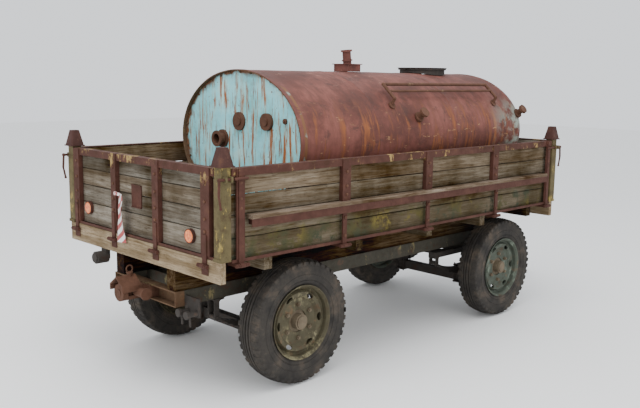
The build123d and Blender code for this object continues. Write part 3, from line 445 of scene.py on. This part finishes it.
def rusted_paint(name, paint, rust, under, under_share, under_from=None, gloss=0.7):
    """Old paint over rust; scraps of an under-coat show, or only from a height upwards."""
    material, tree, shader = new_material(name, roughness=gloss, shine=0.25)
    plain = place_on_piece(tree)
    patches = clouds(tree, plain, 9.0, detail=9.0, rough=0.72)
    specks = clouds(tree, plain, 70.0, detail=5.0, rough=0.7)
    colour = graded(tree, patches, (0.30, darkened(rust, 0.45)), (0.45, paint),
                    (0.58, darkened(paint, 1.25)), (0.72, rust))
    peeling = clouds(tree, place_on_piece(tree, (1, 1, 0.5), (3, 1, 2)), 6.0, detail=9.0,
                     rough=0.8)
    scraps = step(tree, peeling, under_share, under_share + 0.04)
    if under_from is not None:
        high_up = step(tree, axis_of(tree, plain, 2), under_from - 0.06, under_from + 0.02)
        scraps = times(tree, scraps, high_up)
    colour = blended(tree, scraps, colour, under)
    pits = step(tree, specks, 0.60, 0.70)
    colour = blended(tree, times(tree, pits, 0.7), colour, darkened(rust, 0.35))
    tree.links.new(colour, shader.inputs["Base Color"])
    dull, worn = (0.85,) * 3, (gloss,) * 3
    tree.links.new(graded(tree, patches, (0.35, dull), (0.6, worn)), shader.inputs["Roughness"])
    height = worked(tree, "ADD", times(tree, patches, 0.7), times(tree, specks, 0.5))
    roughened(tree, shader, height, 0.5, 0.003)
    return material


MAROON, RUST = (0.056, 0.020, 0.013), (0.095, 0.040, 0.019)
upper_rail_foot = 1.53        # yellow shows on the boards from here upwards
frame_steel = rusted_paint("board_frame_paint", MAROON, RUST, (0.30, 0.20, 0.07), 0.56,
                           upper_rail_foot)
post_paint = rusted_paint("post_paint", (0.085, 0.066, 0.028), (0.085, 0.038, 0.022),
                          (0.27, 0.20, 0.055), 0.56)
cap_paint = rusted_paint("post_cap_paint", (0.042, 0.016, 0.012), RUST, (0.10, 0.045, 0.03),
                         0.62)
dark_paint = rusted_paint("underframe_paint", (0.035, 0.030, 0.026), (0.10, 0.05, 0.03),
                          (0.12, 0.10, 0.05), 0.68, gloss=0.8)
channel_paint = rusted_paint("chassis_paint", (0.042, 0.038, 0.028), (0.13, 0.06, 0.035),
                             (0.16, 0.13, 0.06), 0.58, gloss=0.8)
rear_channel_paint = rusted_paint("rear_channel_paint", (0.090, 0.052, 0.028),
                                  (0.19, 0.075, 0.035), (0.20, 0.16, 0.07), 0.58, gloss=0.85)
bare_iron = rusted_paint("bare_rusty_iron", (0.080, 0.036, 0.021), (0.13, 0.055, 0.025),
                         (0.19, 0.13, 0.07), 0.60, gloss=0.75)
finish_nodes(frame_steel, "side_frame_right", "side_frame_left", "gate_frame", "front_frame",
             "hinge_irons", "latch_rear_right", "latch_rear_left", "latch_front_right",
             "latch_front_left", "reflector_bezels")
finish_nodes(post_paint, "corner_posts")
finish_nodes(cap_paint, "post_caps")
finish_nodes(rear_channel_paint, "rear_cross_channel", "rim_hoop")
finish_nodes(channel_paint, "chassis_beams", "turntable_upper_ring", "drawbar")
finish_nodes(dark_paint, "rear_axle", "front_axle", "leaf_springs_rear", "leaf_springs_front",
             "turntable_frame", "tail_lamp", "brake_couplings", "manhole_collar", "manhole_lid")
finish_nodes(bare_iron, "coupling_body", "coupling_pin", "outlet_pipe", "handrail",
             "tank_fittings")

# Coach bolts ----------------------------------------------------------------------------------
# Forged bolts with a low domed head, driven through bar and plank wherever an
# upright or a strap is fixed, and rusted like the bare iron.
bolt_radius, bolt_height = 0.011, 0.012


def bolt_heads(places, facing, name, body):
    """One bolt head at each place, all looking the same way."""
    cleared()
    bpy.ops.mesh.primitive_cylinder_add(vertices=16, radius=bolt_radius, depth=bolt_height)
    head = bpy.context.object
    picked(head, "FACE", lambda face: face.center.z > 0.005)
    bpy.ops.mesh.inset(thickness=0.003, depth=0.0025)
    bpy.ops.mesh.inset(thickness=0.004, depth=0.0012)
    bpy.ops.object.mode_set(mode="OBJECT")
    towards = Vector(facing).to_track_quat("Z", "Y").to_matrix().to_4x4()
    heads = []
    for spot in places:
        copy = head.copy()
        copy.data = head.data.copy()
        bpy.context.scene.collection.objects.link(copy)
        copy.matrix_world = Matrix.Translation(spot) @ towards
        heads.append(copy)
    bpy.data.objects.remove(head)
    made_up(heads, name, body, bare_iron, angle=50)


upright_x = [gate_x + forward for forward in (0.151, 1.098, 2.029, 2.946, 3.813)]
strap_x = [gate_x + forward for forward in (1.078, 2.019, 2.969)]
gate_bar_y = (-0.80, -0.24, 0.30, 0.835)
upright_levels, strap_levels = (1.365, 1.425, 1.525), (1.075, 1.205)
gate_bar_levels = (1.21, 1.29, 1.40, 1.52)
proud, strap_proud = 0.0005, 0.0085     # how far a bolt's middle stands off the bars' face
for side, sign in (("right", -1), ("left", 1)):
    places = [(x, sign * (half_width + proud), z) for x in upright_x for z in upright_levels]
    places += [(x, sign * (half_width + strap_proud), z) for x in strap_x for z in strap_levels]
    bolt_heads(places, (0, sign, 0), f"bolts_side_{side}", f"side_board_{side}")
bolt_heads([(gate_x - proud, y, z) for y in gate_bar_y for z in gate_bar_levels], (-1, 0, 0),
           "bolts_gate", "gate")

# Tank -----------------------------------------------------------------------------------------
# A drum rolled from sheet steel in three welded lengths with a dished front
# end, red oxide paint faded pink and streaked with rust, its top lightened
# by pink wear that is also a painted highlight, and a flanged rear head still
# in its old light turquoise.
tank_low, tank_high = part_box("tank_shell")
tank_mid_z = (tank_low.z + tank_high.z) / 2
tank_half_y, tank_half_z = tank_high.y, (tank_high.z - tank_low.z) / 2

OXIDE_DARK, OXIDE = (0.056, 0.019, 0.013), (0.11, 0.035, 0.025)
OXIDE_FADED, OXIDE_DULL = (0.19, 0.064, 0.048), (0.090, 0.030, 0.020)
OXIDE_STREAK, SOOT = (0.085, 0.030, 0.022), (0.045, 0.022, 0.018)
ORANGE_RUST, CREAM = (0.25, 0.080, 0.024), (0.60, 0.36, 0.16)
PINK_WEAR_AND_HIGHLIGHT, OLD_GREY_GREEN = (0.42, 0.22, 0.15), (0.32, 0.40, 0.34)


def tank_paint(name):
    """Red oxide: rust and cream wear low down, pink wear and a painted highlight on top, old
    paint near the front.
    """
    material, tree, shader = new_material(name, roughness=0.68, shine=0.3)
    plain = place_on_piece(tree)
    runs = place_on_piece(tree, (7.0, 2.2, 0.9))
    along = place_on_piece(tree, (1.2, 3.5, 3.5))
    broad = clouds(tree, plain, 2.4, detail=8.0, rough=0.65)
    streaks = clouds(tree, runs, 2.4, detail=8.0, rough=0.7)
    wear = clouds(tree, along, 7.0, detail=9.0, rough=0.78)
    colour = graded(tree, broad, (0.30, OXIDE_DARK), (0.44, OXIDE), (0.56, OXIDE_FADED),
                    (0.74, OXIDE_DULL))
    colour = blended(tree, times(tree, step(tree, streaks, 0.42, 0.62), 0.75), colour,
                     OXIDE_STREAK)
    soot = step(tree, clouds(tree, plain, 5.5, detail=9.0, rough=0.75, twist=0.8), 0.54, 0.64)
    colour = blended(tree, times(tree, soot, 0.6), colour, SOOT)
    height = axis_of(tree, plain, 2)
    low_down = step(tree, height, 2.02, 1.80)
    # the top band of the drum, where pink patches are partly real wear and partly a painted
    # highlight for light from above
    top_wear_and_highlight = step(tree, height, 2.02, 2.17)
    orange = times(tree, low_down, step(tree, streaks, 0.52, 0.62))
    colour = blended(tree, times(tree, orange, 0.85), colour, ORANGE_RUST)
    cream = times(tree, low_down, step(tree, wear, 0.60, 0.68))
    colour = blended(tree, times(tree, cream, 0.8), colour, CREAM)
    # pink patches on the top only: partly wear, partly a painted highlight that lightens the top
    # as if lit from above
    pink = times(tree, top_wear_and_highlight, step(tree, wear, 0.60, 0.66))
    colour = blended(tree, times(tree, pink, 0.75), colour, PINK_WEAR_AND_HIGHLIGHT)
    front = step(tree, axis_of(tree, plain, 0), gate_x + 3.25, gate_x + 3.7)
    flaked = step(tree, clouds(tree, plain, 5.0, detail=7.0, rough=0.7), 0.46, 0.56)
    patch = times(tree, times(tree, front, low_down), flaked)
    colour = blended(tree, times(tree, patch, 0.8), colour, OLD_GREY_GREEN)
    tree.links.new(colour, shader.inputs["Base Color"])
    roughened(tree, shader, wear, 0.35, 0.003)
    return material


DEEP_TURQUOISE, TURQUOISE = (0.16, 0.46, 0.48), (0.25, 0.62, 0.67)
PALE_TURQUOISE, TAN_STAIN = (0.42, 0.68, 0.66), (0.46, 0.38, 0.22)
RUN_RUST, DRIP_RUST = (0.27, 0.085, 0.022), (0.21, 0.070, 0.022)
SPECK_RUST, EDGE_RUST = (0.20, 0.07, 0.03), (0.15, 0.065, 0.028)


def head_paint(name):
    """Turquoise with rust running down it, and a rusty edge all round the oval."""
    material, tree, shader = new_material(name, roughness=0.6, shine=0.3)
    plain = place_on_piece(tree)
    drips = place_on_piece(tree, (1, 9.0, 0.8))
    fine_drips = place_on_piece(tree, (1, 26.0, 2.2), (0, 3, 1))
    base = graded(tree, clouds(tree, plain, 3.0, detail=8.0, rough=0.7), (0.36, DEEP_TURQUOISE),
                  (0.50, TURQUOISE), (0.66, PALE_TURQUOISE))
    run = clouds(tree, drips, 2.6, detail=7.0, rough=0.65)
    fine = clouds(tree, fine_drips, 2.2, detail=6.0, rough=0.65)
    colour = blended(tree, times(tree, step(tree, run, 0.50, 0.60), 0.6), base, TAN_STAIN)
    colour = blended(tree, step(tree, run, 0.555, 0.60), colour, RUN_RUST)
    colour = blended(tree, times(tree, step(tree, fine, 0.575, 0.62), 0.9), colour, DRIP_RUST)
    specks = step(tree, clouds(tree, plain, 26.0, detail=4.0), 0.66, 0.70)
    colour = blended(tree, specks, colour, SPECK_RUST)
    sideways = worked(tree, "DIVIDE", axis_of(tree, plain, 1), tank_half_y)
    upwards = worked(tree, "DIVIDE",
                     worked(tree, "SUBTRACT", axis_of(tree, plain, 2), tank_mid_z), tank_half_z)
    outward = worked(tree, "ADD", worked(tree, "POWER", worked(tree, "ABSOLUTE", sideways), 2.0),
                     worked(tree, "POWER", worked(tree, "ABSOLUTE", upwards), 2.0))
    ragged = worked(tree, "ADD", outward, times(tree, clouds(tree, plain, 9.0), 0.35))
    colour = blended(tree, step(tree, ragged, 1.02, 1.12), colour, EDGE_RUST)
    tree.links.new(colour, shader.inputs["Base Color"])
    roughened(tree, shader, worked(tree, "ADD", run, fine), 0.25, 0.003)
    return material


tank_red = tank_paint("tank_paint")
finish_nodes(tank_red, "filler_box", "filler_pipe")
finish_nodes(head_paint("head_paint"), "tank_rear_head")

SKIN, BEAD = 0.994, 0.9985    # the drum's and its weld beads' size beside its rear rim
rim_width, rim_foot = 0.034, 0.040
bead_half, bead_crown = 0.011, 0.004
ring_pitch, least_room = 0.12, 0.13
seam_shares = (0.30, 0.66)    # where two lengths of the drum meet
dome, dome_steps, dome_fullness = 0.19, 15, 2.5
straight_end = tank_high.x - tank_low.x - dome
rings = [(rim_width, 1.0), (rim_foot, SKIN)]


def rings_up_to(end):
    """Even rings from the last one nearly to an end."""
    while rings[-1][0] + least_room < end:
        rings.append((rings[-1][0] + ring_pitch, SKIN))


for share in seam_shares:
    seam = share * straight_end
    rings_up_to(seam)
    rings += [(seam - bead_half, SKIN), (seam - bead_crown, BEAD), (seam + bead_crown, BEAD),
              (seam + bead_half, SKIN)]
rings_up_to(straight_end)
rings += [(straight_end - bead_half, SKIN), (straight_end - bead_crown, BEAD),
          (straight_end + bead_crown, SKIN)]
for i in range(2, dome_steps):
    swing = math.radians(90) * i / dome_steps
    rings.append((straight_end + dome * math.sin(swing),
                  SKIN * (1 - math.sin(swing) ** dome_fullness) ** (1 / dome_fullness)))

cleared()
bpy.ops.mesh.primitive_circle_add(vertices=144, radius=1, location=(tank_low.x, 0, tank_mid_z),
                                  rotation=(0, math.radians(90), 0))
skin = bpy.context.object
skin.scale = (tank_half_z, tank_half_y, 1)
settled(skin)
picked(skin, "VERT", lambda point: True)
at, size = 0.0, 1.0
for next_at, next_size in rings:
    bpy.ops.mesh.extrude_region_move(TRANSFORM_OT_translate={"value": (next_at - at, 0, 0)})
    grow = next_size / size
    bpy.ops.transform.resize(value=(1, grow, grow),
                             center_override=(tank_low.x + next_at, 0, tank_mid_z))
    at, size = next_at, next_size
nose = straight_end + dome
bpy.ops.mesh.extrude_region_move(TRANSFORM_OT_translate={"value": (nose - at, 0, 0)})
bpy.ops.mesh.merge(type="CENTER")
bpy.ops.mesh.select_all(action="SELECT")
bpy.ops.mesh.normals_make_consistent(inside=False)
bpy.ops.object.mode_set(mode="OBJECT")

dents = bpy.data.textures.new("tank_dents", "CLOUDS")
dents.noise_scale = 0.42
wall = 0.005
applied(skin, "DISPLACE", texture=dents, strength=0.007, mid_level=0.75, texture_coords="LOCAL")
applied(skin, "SOLIDIFY", thickness=wall, offset=-1)
manhole, filler = (2.217, 0.200), (1.197, 0.034)    # each hole's place ahead of the rim, radius
for forward, radius in (manhole, filler):
    cleared()
    bpy.ops.mesh.primitive_cylinder_add(vertices=48, radius=radius, depth=0.3,
                                        location=(tank_low.x + forward, 0, tank_high.z))
    cutter = bpy.context.object
    applied(skin, "BOOLEAN", object=cutter, operation="DIFFERENCE")
    bpy.data.objects.remove(cutter)
made_up([skin], "tank_skin", "trailer_body", tank_red, "tank_shell", angle=40)

# Wheels ---------------------------------------------------------------------------------------
# Pressed disc wheels, olive at the rear and grey-green at the front, on hubs
# grimed with grease. The dusty cross-ply tyres have two ribs round the middle
# and a row of blocks on each shoulder.
WHEEL_RUST = (0.17, 0.09, 0.045)
wheel_finish = {
    "rear": rusted_paint("rear_wheel_paint", (0.060, 0.052, 0.030), WHEEL_RUST,
                         (0.17, 0.15, 0.085), 0.55, gloss=0.75),
    "front": rusted_paint("front_wheel_paint", (0.058, 0.068, 0.052), WHEEL_RUST,
                          (0.13, 0.155, 0.12), 0.55, gloss=0.75)}
hub_iron = rusted_paint("hub_iron", (0.11, 0.085, 0.055), (0.16, 0.09, 0.05),
                        (0.40, 0.36, 0.26), 0.60, gloss=0.7)

BLACK_RUBBER, WORN_RUBBER = (0.020, 0.018, 0.017), (0.040, 0.035, 0.030)
ROAD_DUST = (0.10, 0.075, 0.055)
rubber, tree, shader = new_material("tyre_rubber", roughness=0.85, shine=0.2)
tyre_place = place_on_piece(tree)
dust = clouds(tree, tyre_place, 5.0, detail=8.0, rough=0.7)
tree.links.new(graded(tree, dust, (0.35, BLACK_RUBBER), (0.52, WORN_RUBBER), (0.70, ROAD_DUST)),
               shader.inputs["Base Color"])
roughened(tree, shader, clouds(tree, tyre_place, 90.0, detail=4.0), 0.3, 0.001)


def ring_of(outline, steps, name):
    """Spin a closed outline of (radius, sideways) pairs about the wheel's own axis."""
    cleared()
    bpy.ops.mesh.primitive_circle_add(vertices=len(outline), radius=1)
    piece = bpy.context.object
    piece.name = name
    for point, (radius, sideways) in zip(piece.data.vertices, outline):
        point.co = (radius, sideways, 0)
    picked(piece, "VERT", lambda point: True)
    bpy.ops.mesh.spin(steps=steps, angle=math.radians(360), center=(0, 0, 0), axis=(0, 1, 0))
    bpy.ops.mesh.select_all(action="SELECT")
    bpy.ops.mesh.remove_doubles(threshold=0.0001)
    bpy.ops.mesh.normals_make_consistent(inside=False)
    bpy.ops.object.mode_set(mode="OBJECT")
    return piece


# one half of the tyre's outside, from its bead to the groove round the middle of its tread
flank = [(0.2585, 0.062), (0.268, 0.076), (0.285, 0.084), (0.300, 0.0905), (0.303, 0.0878),
         (0.308, 0.0878), (0.311, 0.0930), (0.345, 0.0985), (0.349, 0.0955), (0.354, 0.0955),
         (0.358, 0.0992), (0.395, 0.0980), (0.420, 0.0935), (0.4340, 0.0840), (0.4400, 0.0700),
         (0.4420, 0.0500), (0.4470, 0.0480), (0.4485, 0.0330), (0.4370, 0.0310), (0.4370, 0.0240),
         (0.4500, 0.0220), (0.4515, 0.0070), (0.4400, 0.0050)]
# one half of its inside, from the bead to the crown
inside = [(0.2585, 0.048), (0.300, 0.068), (0.360, 0.086), (0.410, 0.084), (0.430, 0.060)]
outline = (flank + [(radius, -sideways) for radius, sideways in reversed(flank)]
           + [(radius, -sideways) for radius, sideways in inside] + inside[::-1])
carcass = ring_of(outline, 96, "carcass")

lug_count, lug_radius, lug_aside, lug_size = 46, 0.4350, 0.074, (0.026, 0.046, 0.036)
shoulder, lug_drop, lug_sweep = 0.08, 0.011, 0.012   # past the shoulder a lug drops and sweeps
tyre_patterns = [carcass]
for side in (-1, 1):
    lug = block((lug_radius, side * lug_aside, 0), lug_size)
    for point in lug.data.vertices:
        if side * point.co.y > shoulder:
            point.co.x -= lug_drop
            point.co.z += lug_sweep
    applied(lug, "BEVEL", width=0.004, segments=2)
    picked(lug, "VERT", lambda point: True)
    bpy.ops.mesh.spin(steps=lug_count, dupli=True, angle=math.radians(360), center=(0, 0, 0),
                      axis=(0, 1, 0))
    bpy.ops.object.mode_set(mode="OBJECT")
    tyre_patterns.append(lug)
for end in ("rear", "front"):
    for side in ("right", "left"):
        wheel = f"{end}_{side}"
        low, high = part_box(f"tyre_{wheel}")
        parts = []
        for pattern in tyre_patterns:
            part = pattern.copy()
            part.data = pattern.data.copy()
            bpy.context.scene.collection.objects.link(part)
            part.location = (low + high) / 2
            parts.append(part)
        made_up(parts, f"treaded_tyre_{wheel}", f"road_wheel_{wheel}", rubber, f"tyre_{wheel}",
                angle=32)
        finish_nodes(wheel_finish[end], f"wheel_{wheel}")
        finish_nodes(hub_iron, f"hub_{wheel}")
for pattern in tyre_patterns:
    bpy.data.objects.remove(pattern)

# Reflectors -----------------------------------------------------------------------------------
# Two round moulded lenses of clear red plastic, bleached towards orange, set
# in steel bezels on the gate.
LENS_RED, LENS_ORANGE = (0.55, 0.10, 0.03), (0.85, 0.26, 0.07)
lens, tree, shader = new_material("lens_red", roughness=0.25)
glow = clouds(tree, place_on_piece(tree), 60.0, detail=2.0, rough=0.4)
tree.links.new(graded(tree, glow, (0.3, LENS_RED), (0.7, LENS_ORANGE)),
               shader.inputs["Base Color"])
roughened(tree, shader, glow, 0.4, 0.002)
finish_nodes(lens, "reflector_lenses")

# Striped tape ---------------------------------------------------------------------------------
# A torn length of thin red and white plastic tape. It hangs from a knot round
# one of the gate's uprights, its edges curled and its length creased.
TAPE_WHITE, TAPE_RED, TAPE_GRIME = (0.72, 0.70, 0.68), (0.36, 0.035, 0.035), (0.22, 0.17, 0.13)
stripe_count = 4.6
tape_film, tree, shader = new_material("tape_film", roughness=0.5)
flat_place = tree.nodes.new("ShaderNodeTexCoord").outputs["UV"]
slanted = worked(tree, "ADD", times(tree, axis_of(tree, flat_place, 1), stripe_count),
                 axis_of(tree, flat_place, 0))
stripe = step(tree, worked(tree, "SINE", times(tree, slanted, 6.28)), -0.1, 0.1)
grime = clouds(tree, flat_place, 6.0, detail=6.0, rough=0.7)
film = blended(tree, stripe, TAPE_WHITE, TAPE_RED)
film = blended(tree, times(tree, step(tree, grime, 0.48, 0.66), 0.6), film, TAPE_GRIME)
tree.links.new(film, shader.inputs["Base Color"])

tape_low, tape_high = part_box("warning_tape")
tape_cut = (0.09, tape_high.z - tape_low.z)
film_thickness = 0.0012
centre_y = tape_low.y + tape_cut[0] / 2
cleared()
bpy.ops.mesh.primitive_grid_add(x_subdivisions=14, y_subdivisions=60, size=1)
ribbon = bpy.context.object
creases = random.Random(5)
bends = [(creases.uniform(9, 60), creases.uniform(0, 6.28)) for _ in range(4)]
for point in ribbon.data.vertices:
    wide, long = point.co.x * tape_cut[0], (0.5 - point.co.y) * tape_cut[1]
    fold = sum(math.sin(rate * long + phase) for rate, phase in bends) / 4
    twist = 0.30 * math.sin(9.0 * long + 0.4)
    gather = 1 - 0.5 * math.exp(-long / 0.02)
    curl = 0.004 * math.sin(55 * wide + 9 * long)
    sway = 0.006 * math.sin(11 * long)
    point.co = (tape_low.x + 0.018 + gather * wide * math.sin(twist) + 0.005 * fold + curl,
                centre_y + gather * wide * math.cos(twist) + sway,
                tape_high.z - 0.008 - 0.975 * long)
applied(ribbon, "SOLIDIFY", thickness=film_thickness, offset=0)
made_up([ribbon], "striped_tape", "gate", tape_film, "warning_tape", angle=60)

# the knot, and a short crumpled band that runs from the ribbon's head to the upright
knot_drop, knot_size = 0.016, (0.030, 0.034, 0.028)
knot_middle = Vector((tape_high.x - 0.016, tape_high.y - 0.020, tape_high.z - knot_drop))
cleared()
bpy.ops.mesh.primitive_uv_sphere_add(segments=24, ring_count=14, radius=0.5, location=knot_middle)
knot = bpy.context.object
knot.scale = knot_size
settled(knot)
crumple = bpy.data.textures.new("tape_crumple", "CLOUDS")
crumple.noise_scale = 0.012
crumpled = {"texture": crumple, "strength": 0.008, "texture_coords": "LOCAL"}
applied(knot, "DISPLACE", mid_level=0.6, **crumpled)
band = block((tape_low.x + 0.020, (centre_y + tape_high.y) / 2, tape_high.z - knot_drop),
             (0.003, tape_high.y - centre_y - 0.02, 0.022))
picked(band, "VERT", lambda point: True)
bpy.ops.mesh.subdivide(number_cuts=8)
bpy.ops.object.mode_set(mode="OBJECT")
applied(band, "DISPLACE", mid_level=0.5, **crumpled)
knot = made_up([knot, band], "tape_knot", "gate", tape_film, angle=60)
